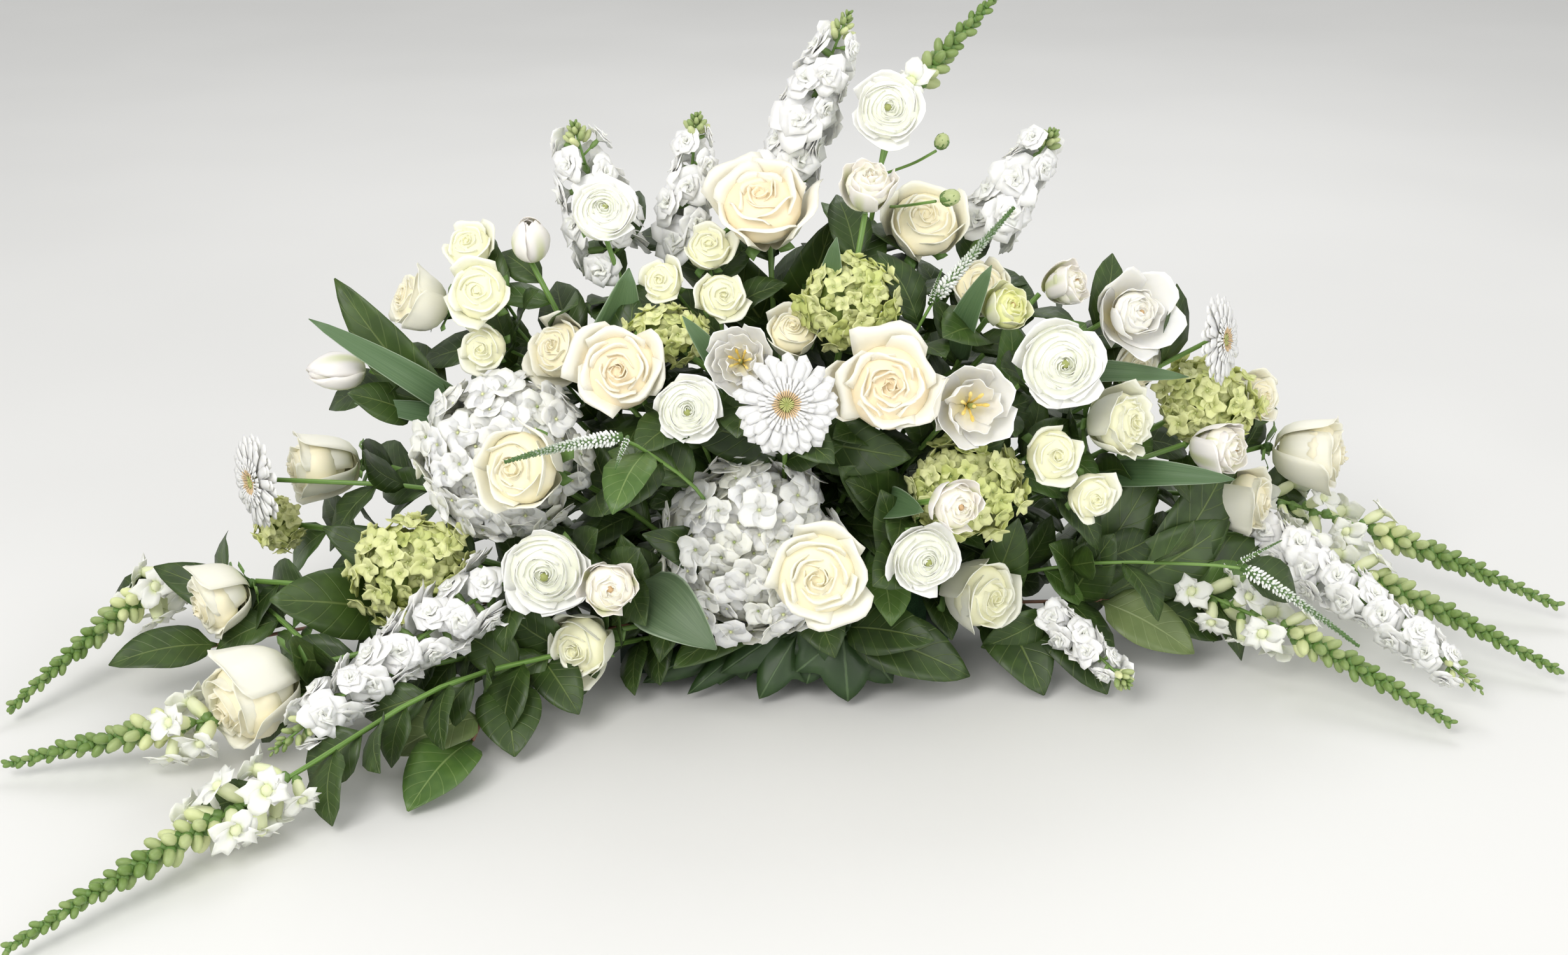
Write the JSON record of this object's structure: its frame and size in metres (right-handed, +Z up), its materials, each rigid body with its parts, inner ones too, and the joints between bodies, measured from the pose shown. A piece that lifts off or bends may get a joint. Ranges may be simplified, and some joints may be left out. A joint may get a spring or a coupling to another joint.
{
  "type": "flower arrangement",
  "caption": "Wide, low sheaf of white and green cut flowers and leaves, standing in a block of wet foam in a low tray.",
  "frame": {"origin": "middle of the tray's underside, on the surface that it stands on", "axes": "+X along the sheaf's length, to the right seen from the front; +Y to the back; +Z up"},
  "size_m": [1.406, 0.7007, 0.58],
  "materials": {
    "rose_petal": "satin, soft",
    "white_petal": "satin, soft",
    "tulip_petal": "satin, waxy",
    "green_floret": "satin, soft",
    "green_bud": "satin, soft",
    "dark_leaf": "waxy",
    "foam": "matte, wet",
    "tray": "matte"
  },
  "bodies": {
    "root": {"foam": "foam", "gerbera_centre": "white_petal", "gerbera_left": "white_petal", "gerbera_right": "white_petal", "green_hydrangea_middle": "green_floret", "green_hydrangea_right": "green_floret", "green_hydrangeas_left": "green_floret", "green_hydrangeas_upper": "green_floret", "hydrangea_front": "white_petal", "hydrangea_left": "white_petal", "ivy_front": "dark_leaf", "ranunculus_front_left": "white_petal", "ranunculus_front_right": "white_petal", "ranunculus_middle": "white_petal", "ranunculus_right": "white_petal", "ranunculus_top": "white_petal", "ranunculus_upper_left": "white_petal", "rose_front": "rose_petal", "rose_front_left": "rose_petal", "rose_front_right": "rose_petal", "rose_left_lying": "rose_petal", "rose_on_hydrangea": "rose_petal", "rose_right_frilled": "rose_petal", "rose_top": "rose_petal", "rose_top_right": "rose_petal", "rose_upper_left": "rose_petal", "roses_behind_tulips": "rose_petal", "roses_centre": "rose_petal", "roses_far_right": "rose_petal", "roses_heart": "rose_petal", "roses_low_left": "rose_petal", "salal_back": "dark_leaf", "salal_centre": "dark_leaf", "salal_front_left": "dark_leaf", "salal_left": "dark_leaf", "salal_right": "dark_leaf", "snapdragon_front_left": "green_bud", "snapdragon_top": "green_bud", "snapdragons_left": "green_bud", "snapdragons_right": "green_bud", "spray_roses_left": "rose_petal", "spray_roses_right": "rose_petal", "spray_roses_upper": "rose_petal", "stock_front_left": "white_petal", "stock_upper_left": "white_petal", "stock_upper_right": "white_petal", "stocks_right": "white_petal", "stocks_top": "white_petal", "tray": "tray", "tulip_far_left": "tulip_petal", "tulip_front_left": "tulip_petal", "tulip_middle": "tulip_petal", "tulip_right": "tulip_petal", "tulip_top": "tulip_petal", "tulip_upper_left": "tulip_petal", "tulips_centre_right": "tulip_petal", "tulips_upper_right": "tulip_petal", "veronica_left": "white_petal", "veronica_right": "white_petal", "veronica_top": "white_petal"}
  },
  "joints": []
}
